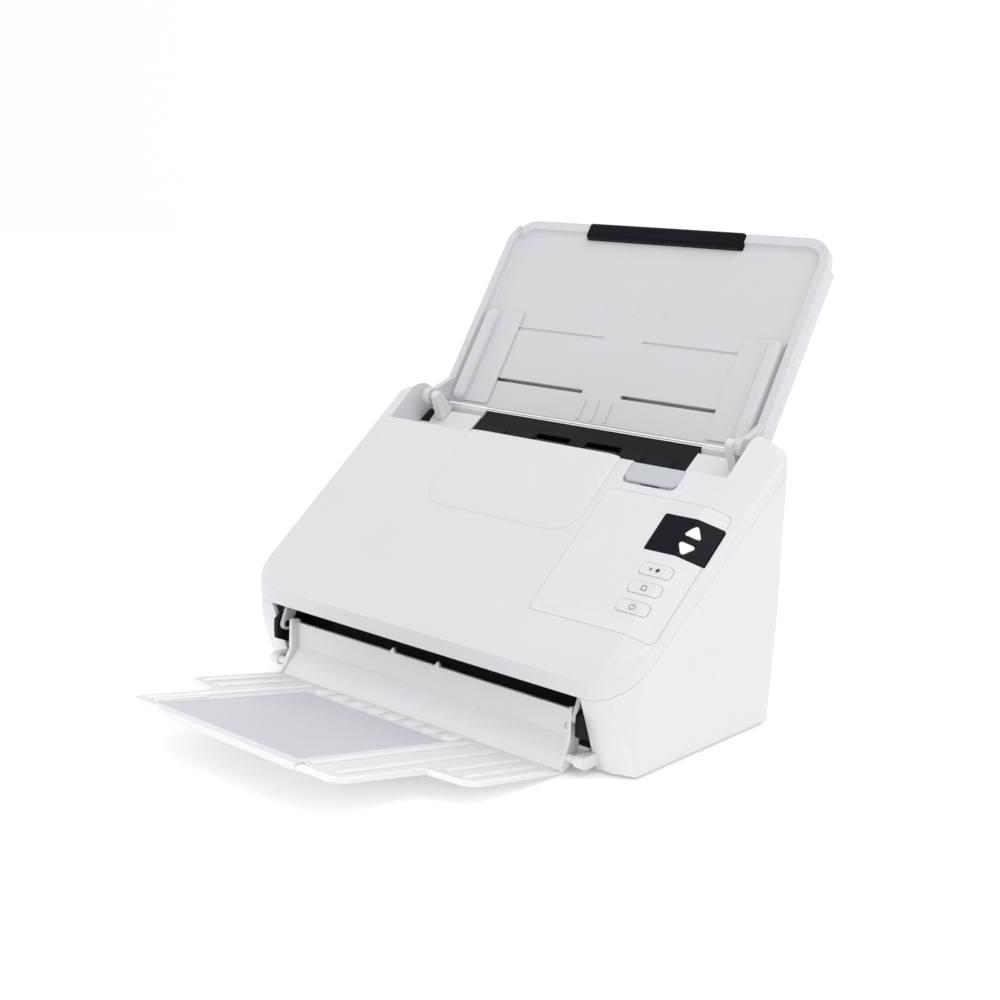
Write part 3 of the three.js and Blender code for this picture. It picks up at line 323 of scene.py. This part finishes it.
def circuit_board(name):
    """Solder mask with copper tracks that show through it."""
    material, tree, bsdf = shader(name)
    place = tree.nodes.new("ShaderNodeTexCoord")
    tracks = tree.nodes.new("ShaderNodeTexBrick")
    tracks.inputs["Scale"].default_value = TRACK_SCALE
    tracks.inputs["Mortar Size"].default_value = TRACK_WIDTH
    turned = tree.nodes.new("ShaderNodeMapping")
    turned.inputs["Rotation"].default_value = (math.pi / 2, 0, 0)
    tree.links.new(place.outputs["Object"], turned.inputs["Vector"])
    tree.links.new(turned.outputs["Vector"], tracks.inputs["Vector"])
    shades = remap(tree, object_noise(tree, 30, 3), 0, 1)
    mask = blend_colours(tree, shades, MASK_DARK, MASK_LIGHT)
    body = blend_colours(tree, tracks.outputs["Fac"], mask, TRACK_GREEN)
    tree.links.new(body, bsdf.inputs["Base Color"])
    tree.links.new(remap(tree, object_noise(tree, 120, 3), 0.3, 0.5), bsdf.inputs["Roughness"])
    add_bump(tree, bsdf, [(tracks.outputs["Fac"], TRACK_DEPTH, 0.5)])
    return material


def printed_ink(name, colour):
    """Pad-printed ink: slightly uneven cover and gloss."""
    material, tree, bsdf = shader(name)
    cover = remap(tree, object_noise(tree, 1200, 3), 0, 1, 0.5, 0.75)
    tree.links.new(blend_colours(tree, cover, colour, scaled(colour, 1.8)), bsdf.inputs["Base Color"])
    tree.links.new(remap(tree, object_noise(tree, 700, 2), 0.35, 0.55), bsdf.inputs["Roughness"])
    add_bump(tree, bsdf, [(object_noise(tree, 3000, 2), 0.00002, 0.3)])
    return material


MATERIALS = {
    "white": moulded_plastic("white_plastic", (0.775, 0.78, 0.79), 0.42),
    # darker copy of the white plastic: painted shade for the input tray and its guides
    "shaded_tray_white": moulded_plastic("shaded_tray_plastic", (0.69, 0.692, 0.708), 0.42),
    # lighter copy of the white plastic: painted highlight for the output tray's ribs and rim
    "lit_rib_white": moulded_plastic("lit_rib_plastic", (0.9, 0.902, 0.91), 0.36, grain=0.2),
    "lid_white": moulded_plastic("lid_plastic", (0.765, 0.77, 0.782), 0.44, grain=0.45),
    "panel_white": moulded_plastic("panel_plastic", (0.775, 0.78, 0.793), 0.3, grain=0.12),
    "grey": moulded_plastic("grey_plastic", (0.56, 0.58, 0.61), 0.4),
    "pale_grey": moulded_plastic("pale_grey_plastic", (0.62, 0.625, 0.645), 0.55, grain=0.6),
    "black": moulded_plastic("black_plastic", (0.006, 0.006, 0.009), 0.34, wear=2.2, mottle=0.8,
                             specular=0.13),
    "gloss_black": moulded_plastic("display_plastic", (0.003, 0.003, 0.006), 0.2, grain=0.03, wear=3,
                                   mottle=0.8, specular=0.12),
    "key_white": moulded_plastic("key_plastic", (0.93, 0.93, 0.93), 0.32, grain=0.08),
    "rubber": rubber_surface("rubber", (0.018, 0.018, 0.02)),
    "steel": brushed_metal("plated_steel", (0.55, 0.56, 0.58), 0.34),
    "tin": brushed_metal("tinned_shell", (0.7, 0.7, 0.69), 0.25),
    "glass": sensor_glass("sensor_glass"),
    "board": circuit_board("circuit_board"),
    "ink": printed_ink("printed_ink", (0.05, 0.05, 0.06)),
}


# ---------------------------------------------------------------- finish of the carried-over parts

def smoothing_group(angle):
    """Geometry nodes that shade faces smooth and keep edges over an angle sharp."""
    group = bpy.data.node_groups.new(f"smooth_under_{angle}", "GeometryNodeTree")
    group.interface.new_socket("Geometry", in_out="INPUT", socket_type="NodeSocketGeometry")
    group.interface.new_socket("Geometry", in_out="OUTPUT", socket_type="NodeSocketGeometry")
    start = group.nodes.new("NodeGroupInput")
    end = group.nodes.new("NodeGroupOutput")
    edge = group.nodes.new("GeometryNodeInputMeshEdgeAngle")
    under = group.nodes.new("FunctionNodeCompare")
    under.data_type, under.operation = "FLOAT", "LESS_THAN"
    under.inputs["B"].default_value = math.radians(angle)
    edges = group.nodes.new("GeometryNodeSetShadeSmooth")
    edges.domain = "EDGE"
    faces = group.nodes.new("GeometryNodeSetShadeSmooth")
    group.links.new(edge.outputs["Unsigned Angle"], under.inputs["A"])
    group.links.new(start.outputs[0], faces.inputs["Geometry"])
    group.links.new(faces.outputs[0], edges.inputs["Geometry"])
    group.links.new(under.outputs[0], edges.inputs["Shade Smooth"])
    group.links.new(edges.outputs[0], end.inputs[0])
    return group


SMOOTHING = smoothing_group(32)
EDGE_SEGMENTS = 3
WELD_REACH = 2e-5
FLAT_ANGLE = 0.6


def round_edges(piece, width, angle):
    """Rounds the edges that are sharper than an angle, by a width in millimetres."""
    bevel = piece.modifiers.new("edges", "BEVEL")
    bevel.width = width * MM
    bevel.segments = EDGE_SEGMENTS
    bevel.limit_method = "ANGLE"
    bevel.angle_limit = math.radians(angle)


def smooth_faces(piece):
    smooth = piece.modifiers.new("smooth", "NODES")
    smooth.node_group = SMOOTHING


def soften(piece, width, angle):
    """Rounds a carried-over part's edges as a moulding tool would."""
    weld = piece.modifiers.new("weld", "WELD")
    weld.merge_threshold = WELD_REACH
    flat = piece.modifiers.new("flat", "DECIMATE")
    flat.decimate_type = "DISSOLVE"
    flat.angle_limit = math.radians(FLAT_ANGLE)
    round_edges(piece, width, angle)
    smooth_faces(piece)
    normals = piece.modifiers.new("normals", "WEIGHTED_NORMAL")
    normals.keep_sharp = True


# edge radius in millimetres for parts that differ from the usual one
USUAL_EDGE = 0.35
EDGES = {
    "lid_cover": 0.7, "housing": 0.6, "input_tray": 0.5, "output_tray": 0.45, "release_latch": 0.5,
    "guide_left": 0.45, "guide_right": 0.45, "control_panel": 0.12, "display_window": 0.15,
    "lower_glass": 0.1, "upper_glass": 0.1, "main_board": 0.1, "frame_plate_left": 0.15,
    "frame_plate_right": 0.15, "sheet_deck": 0.25, "usb_port": 0.15, "output_inset": 0.15,
}


# parts that follow the shallow fold between the lid's panel and its chamfer
FOLDED = {"lid_cover", "control_panel", "display_window", "button_power", "button_scan", "button_function",
          "key_up", "key_down"}
FOLD_ANGLE, USUAL_ANGLE = 19, 28

# parts whose plastic differs a little from the usual one for their slot: the grip is glossy black, and the input
# tray and its guides take a darker copy of the white plastic as painted shade
OWN_OR_SHADED_PLASTIC = {
    "input_tray": "shaded_tray_white", "guide_left": "shaded_tray_white", "guide_right": "shaded_tray_white",
    "tray_extension_grip": "gloss_black",
}


def finish_cad_parts():
    slots = {row["node"]: row["material_slot"] for row in frame["record"]["subparts"]}
    for name, part in nodes.items():
        part.data.materials.clear()
        part.data.materials.append(MATERIALS[OWN_OR_SHADED_PLASTIC.get(name, slots[name])])
        angle = FOLD_ANGLE if name in FOLDED else USUAL_ANGLE
        soften(part, EDGES.get(name, USUAL_EDGE), angle)


# ---------------------------------------------------------------- making new pieces

NEW_EDGE_ANGLE = 30


def new_piece(name, mesh_maker, material, body, place, edge=0.0, smooth=True):
    """A piece made in millimetres by mesh_maker(bm), put in the row frame by a matrix."""
    bm = bmesh.new()
    mesh_maker(bm)
    bmesh.ops.transform(bm, matrix=place, verts=bm.verts)
    bmesh.ops.recalc_face_normals(bm, faces=bm.faces)
    mesh = bpy.data.meshes.new(name)
    bm.to_mesh(mesh)
    bm.free()
    mesh.materials.append(MATERIALS[material])
    piece = bpy.data.objects.new(name, mesh)
    collection.objects.link(piece)
    if edge > 0:
        round_edges(piece, edge, NEW_EDGE_ANGLE)
    if smooth:
        smooth_faces(piece)
    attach(piece, body)
    return piece


def arc(centre, radius, start, end, steps):
    """Points on an arc, angles in degrees."""
    return [(centre[0] + radius * math.cos(math.radians(start + (end - start) * i / steps)),
             centre[1] + radius * math.sin(math.radians(start + (end - start) * i / steps)))
            for i in range(steps + 1)]


def prism(bm, points, low, high):
    """Closed prism of an X-Y outline between two heights."""
    bottom = [bm.verts.new((x, y, low)) for x, y in points]
    top = [bm.verts.new((x, y, high)) for x, y in points]
    bm.faces.new(bottom[::-1])
    bm.faces.new(top)
    count = len(points)
    for i in range(count):
        j = (i + 1) % count
        bm.faces.new((bottom[i], bottom[j], top[j], top[i]))


def ring_band(bm, outer, inner, low, high):
    """Closed band between two outlines that have the same number of points."""
    count = len(outer)
    rings = [[bm.verts.new((x, y, z)) for x, y in points]
             for points, z in ((outer, low), (outer, high), (inner, high), (inner, low))]
    for i in range(count):
        j = (i + 1) % count
        for k in range(4):
            a, b = rings[k], rings[(k + 1) % 4]
            bm.faces.new((a[i], a[j], b[j], b[i]))


def stroke(bm, points, width, low, high):
    """Raised line of one width along points, with square ends."""
    left, right = [], []
    for i, (x, y) in enumerate(points):
        before = points[max(i - 1, 0)]
        after = points[min(i + 1, len(points) - 1)]
        along = Vector((after[0] - before[0], after[1] - before[1])).normalized() * width / 2
        left.append((x - along.y, y + along.x))
        right.append((x + along.y, y - along.x))
    prism(bm, left + right[::-1], low, high)


# ---------------------------------------------------------------- printed symbols on the buttons

INK_LOW, INK_HIGH = -0.1, 0.05
LINE = 0.45


def power_symbol(bm):
    stroke(bm, arc((0, 0), 1.9, 125, 415, 20), LINE, INK_LOW, INK_HIGH)
    stroke(bm, [(0, 0.3), (0, 2.4)], LINE, INK_LOW, INK_HIGH)


def sheet_symbol(bm):
    stroke(bm, [(-1.6, -1.9), (-1.6, 1.9)], LINE, INK_LOW, INK_HIGH)
    stroke(bm, [(-1.6, 1.7), (0.4, 1.7), (1.5, 0.6), (1.5, -1.9)], LINE, INK_LOW, INK_HIGH)
    stroke(bm, [(-1.6, -1.7), (1.5, -1.7)], LINE, INK_LOW, INK_HIGH)


def cancel_symbol(bm):
    stroke(bm, [(-4.4, -1.1), (-2.4, 1.1)], LINE, INK_LOW, INK_HIGH)
    stroke(bm, [(-4.4, 1.1), (-2.4, -1.1)], LINE, INK_LOW, INK_HIGH)
    prism(bm, arc((1.4, 0), 1.4, 0, 330, 11), INK_LOW, INK_HIGH)


def make_symbols():
    symbols = {"button_power": power_symbol, "button_scan": sheet_symbol, "button_function": cancel_symbol}
    for button, maker in symbols.items():
        new_piece(button + "_symbol", maker, "ink", button, on_panel(button), smooth=False)


# ---------------------------------------------------------------- moulded marks on the input tray

MARK_LINE = 0.5
MARK_LOW, MARK_TOP = -0.2, 0.3
MARK_ROW = 86
MARK_PITCH = 25
MARK_RADIUS, INNER_RADIUS = 4.2, 2.4
SHEET_HALF = 3.6
# a ring of even steps, whose last point is one step short of the first
RING_STEPS = 23
RING_END = 345


def triangle_mark(bm):
    points = arc((-MARK_PITCH, MARK_ROW), MARK_RADIUS, 90, 450, 3)
    for first, second in zip(points, points[1:]):
        stroke(bm, [first, second], MARK_LINE, MARK_LOW, MARK_TOP)


def sheet_mark(bm):
    bottom, top = MARK_ROW - SHEET_HALF, MARK_ROW + SHEET_HALF
    for side in (-2.2, 2.2):
        stroke(bm, [(side - 2.5, bottom), (side + 1.2, top)], MARK_LINE, MARK_LOW, MARK_TOP)
    stroke(bm, [(-1.6, top), (3.6, top)], MARK_LINE, MARK_LOW, MARK_TOP)


def ring_mark(bm):
    middle = (MARK_PITCH, MARK_ROW)
    for radius in (MARK_RADIUS, INNER_RADIUS):
        outer = arc(middle, radius, 0, RING_END, RING_STEPS)
        inner = arc(middle, radius - MARK_LINE, 0, RING_END, RING_STEPS)
        ring_band(bm, outer, inner, MARK_LOW, MARK_TOP)


def make_tray_marks():
    for name, maker in (("triangle", triangle_mark), ("sheet", sheet_mark), ("ring", ring_mark)):
        new_piece(f"tray_mark_{name}", maker, "white", "input_tray", TRAY, edge=0.12)


# ---------------------------------------------------------------- raised marks on the output tray

RIB_LOW, RIB_TOP = -0.2, 1.25
RIB_END_STEPS = 10
RIB_HALF = 2.05
RIB_BACK = -9
LONG_RIBS, LONG_FRONT = (-78.5, 58.5, 77), -138
WING_RIBS, WING_FRONT = (-108, -95, 95, 108), -72
SHORT_RIB = {"x": -73, "front": -138, "back": -98, "half": 1.35}
PADS = {"first": -63, "pitch": 15.4, "count": 8, "half": 4.85, "front": -19, "back": -3}


def rounded_bar(bm, x, front, back, half):
    """Raised bar down the tray with round ends."""
    front_end = arc((x, front + half), half, 180, 360, RIB_END_STEPS)
    back_end = arc((x, back - half), half, 0, 180, RIB_END_STEPS)
    prism(bm, front_end + back_end, RIB_LOW, RIB_TOP)


def outlet_ribs(bm):
    for x in LONG_RIBS:
        rounded_bar(bm, x, LONG_FRONT, RIB_BACK, RIB_HALF)
    for x in WING_RIBS:
        rounded_bar(bm, x, WING_FRONT, RIB_BACK, RIB_HALF)
    rounded_bar(bm, SHORT_RIB["x"], SHORT_RIB["front"], SHORT_RIB["back"], SHORT_RIB["half"])
    for i in range(PADS["count"]):
        x = PADS["first"] + i * PADS["pitch"]
        rounded_bar(bm, x, PADS["front"], PADS["back"], PADS["half"])


BEAD_SIDES = 8


def bead(bm, points, radius):
    """Round bead along points in the X-Y plane, closed at both ends."""
    rings = []
    for i, point in enumerate(points):
        before = Vector(points[max(i - 1, 0)])
        after = Vector(points[min(i + 1, len(points) - 1)])
        along = (after - before).normalized()
        ring = []
        for k in range(BEAD_SIDES):
            turn = 2 * math.pi * k / BEAD_SIDES
            across = radius * math.cos(turn)
            place = (point[0] - along.y * across, point[1] + along.x * across, radius * math.sin(turn))
            ring.append(bm.verts.new(place))
        rings.append(ring)
    bm.faces.new(rings[0])
    bm.faces.new(rings[-1])
    for first, second in zip(rings, rings[1:]):
        for k in range(BEAD_SIDES):
            j = (k + 1) % BEAD_SIDES
            bm.faces.new((first[k], first[j], second[j], second[k]))


# rim of the floor: the bead's radius, and the centre and radius of each wing's and the tongue's front corner
RIM_RADIUS = 0.75
WING_CORNER, WING_RADIUS = (-108, -69), 8.7
TONGUE_CORNER, TONGUE_RADIUS = (-78, -138), 7.7
RIM_STEPS = 8
# where the rim turns from the wing to the tongue, and how far from the middle it ends at the stop
RIM_TURN = ((-88.7, -81.9), (-87, -87))
RIM_END = -58.5


def outlet_rim(bm):
    """Bead round the edge of the floor, from each wing's back to the stop."""
    wing_back = (WING_CORNER[0] - WING_RADIUS, RIB_BACK)
    wing = arc(WING_CORNER, WING_RADIUS, 180, 252, RIM_STEPS)
    tongue = arc(TONGUE_CORNER, TONGUE_RADIUS, 180, 270, RIM_STEPS)
    tongue_front = (RIM_END, TONGUE_CORNER[1] - TONGUE_RADIUS)
    left = [wing_back, *wing, *RIM_TURN, *tongue, tongue_front]
    for side in (1, -1):
        bead(bm, [(x * side, y) for x, y in left], RIM_RADIUS)


# small grey pad on the wall behind the tray, beside the right arm
WALL_PAD = Vector((110.7, 8.3, 23.6))
WALL_PAD_HALF = (1.4, 1.9)
WALL_PAD_LOW, WALL_PAD_TOP = -0.4, 0.3


def wall_pad(bm):
    x, y = WALL_PAD_HALF
    prism(bm, [(-x, -y), (x, -y), (x, y), (-x, y)], WALL_PAD_LOW, WALL_PAD_TOP)


def make_outlet_marks():
    # the ribs and rim take the lighter plastic as painted highlight
    new_piece("output_tray_ribs", outlet_ribs, "lit_rib_white", "output_tray", OUTLET, edge=0.6)
    new_piece("output_tray_rim", outlet_rim, "lit_rib_white", "output_tray", OUTLET)
    wall = basis(OUTLET @ WALL_PAD, RIGHT, Vector((0, 0, 1)), Vector((0, -1, 0)))
    new_piece("output_tray_pad", wall_pad, "grey", "output_tray", wall, edge=0.2)


# ---------------------------------------------------------------- painted shade: black patches for the wells beside the tray's hinges

# on the deck between each hinge post and the lid's cheek, in millimetres from the feed roller's axis
WELL_INNER, WELL_OUTER = 130.8, 139.1
WELL_FRONT, WELL_BACK = 38, 51
WELL_TAPER = 2
DECK_TOP = 8.0
WELL_LOW, WELL_TOP = DECK_TOP - 0.3, DECK_TOP + 0.25


# thin black slabs on the deck's face, painted shade where the wells are
def painted_well_shade(bm):
    for side in (1, -1):
        points = [(WELL_INNER, WELL_FRONT), (WELL_OUTER, WELL_FRONT), (WELL_OUTER, WELL_BACK),
                  (WELL_INNER + WELL_TAPER, WELL_BACK)]
        prism(bm, [(x * side, y) for x, y in points], WELL_LOW, WELL_TOP)


def make_painted_well_shade():
    feed = Vector(joints["feed_roller_spin"]["pos_m"])
    deck_up = (feed - Vector(joints["exit_roller_spin"]["pos_m"])).normalized()
    feed.x = 0
    place = basis(feed, RIGHT, deck_up, RIGHT.cross(deck_up))
    # black patches as painted shade of the wells
    new_piece("painted_well_shade", painted_well_shade, "black", "base", place, edge=0.15)


# ---------------------------------------------------------------- floor

# the floor is a white table that glows faintly, just under the feet, in metres
FLOOR_SIZE = 6
FLOOR_DROP = 0.0001
FLOOR_GLOW = 0.2
FLOOR_DARK, FLOOR_LIGHT = (0.93, 0.93, 0.935), (0.95, 0.95, 0.955)


def make_floor():
    mesh = bpy.data.meshes.new("floor")
    bm = bmesh.new()
    bmesh.ops.create_grid(bm, x_segments=1, y_segments=1, size=FLOOR_SIZE)
    bm.to_mesh(mesh)
    bm.free()
    floor = bpy.data.objects.new("floor", mesh)
    floor.location.z = -FLOOR_DROP
    material, tree, bsdf = shader("floor")
    patches = remap(tree, object_noise(tree, 2, 2), 0, 1)
    shade = blend_colours(tree, patches, FLOOR_DARK, FLOOR_LIGHT)
    tree.links.new(shade, bsdf.inputs["Base Color"])
    bsdf.inputs["Roughness"].default_value = 0.75
    bsdf.inputs["Emission Color"].default_value = (1, 1, 1, 1)
    bsdf.inputs["Emission Strength"].default_value = FLOOR_GLOW
    mesh.materials.append(material)
    collection.objects.link(floor)


make_camera()
make_studio()
make_floor()
finish_cad_parts()
make_symbols()
make_tray_marks()
make_outlet_marks()
make_painted_well_shade()
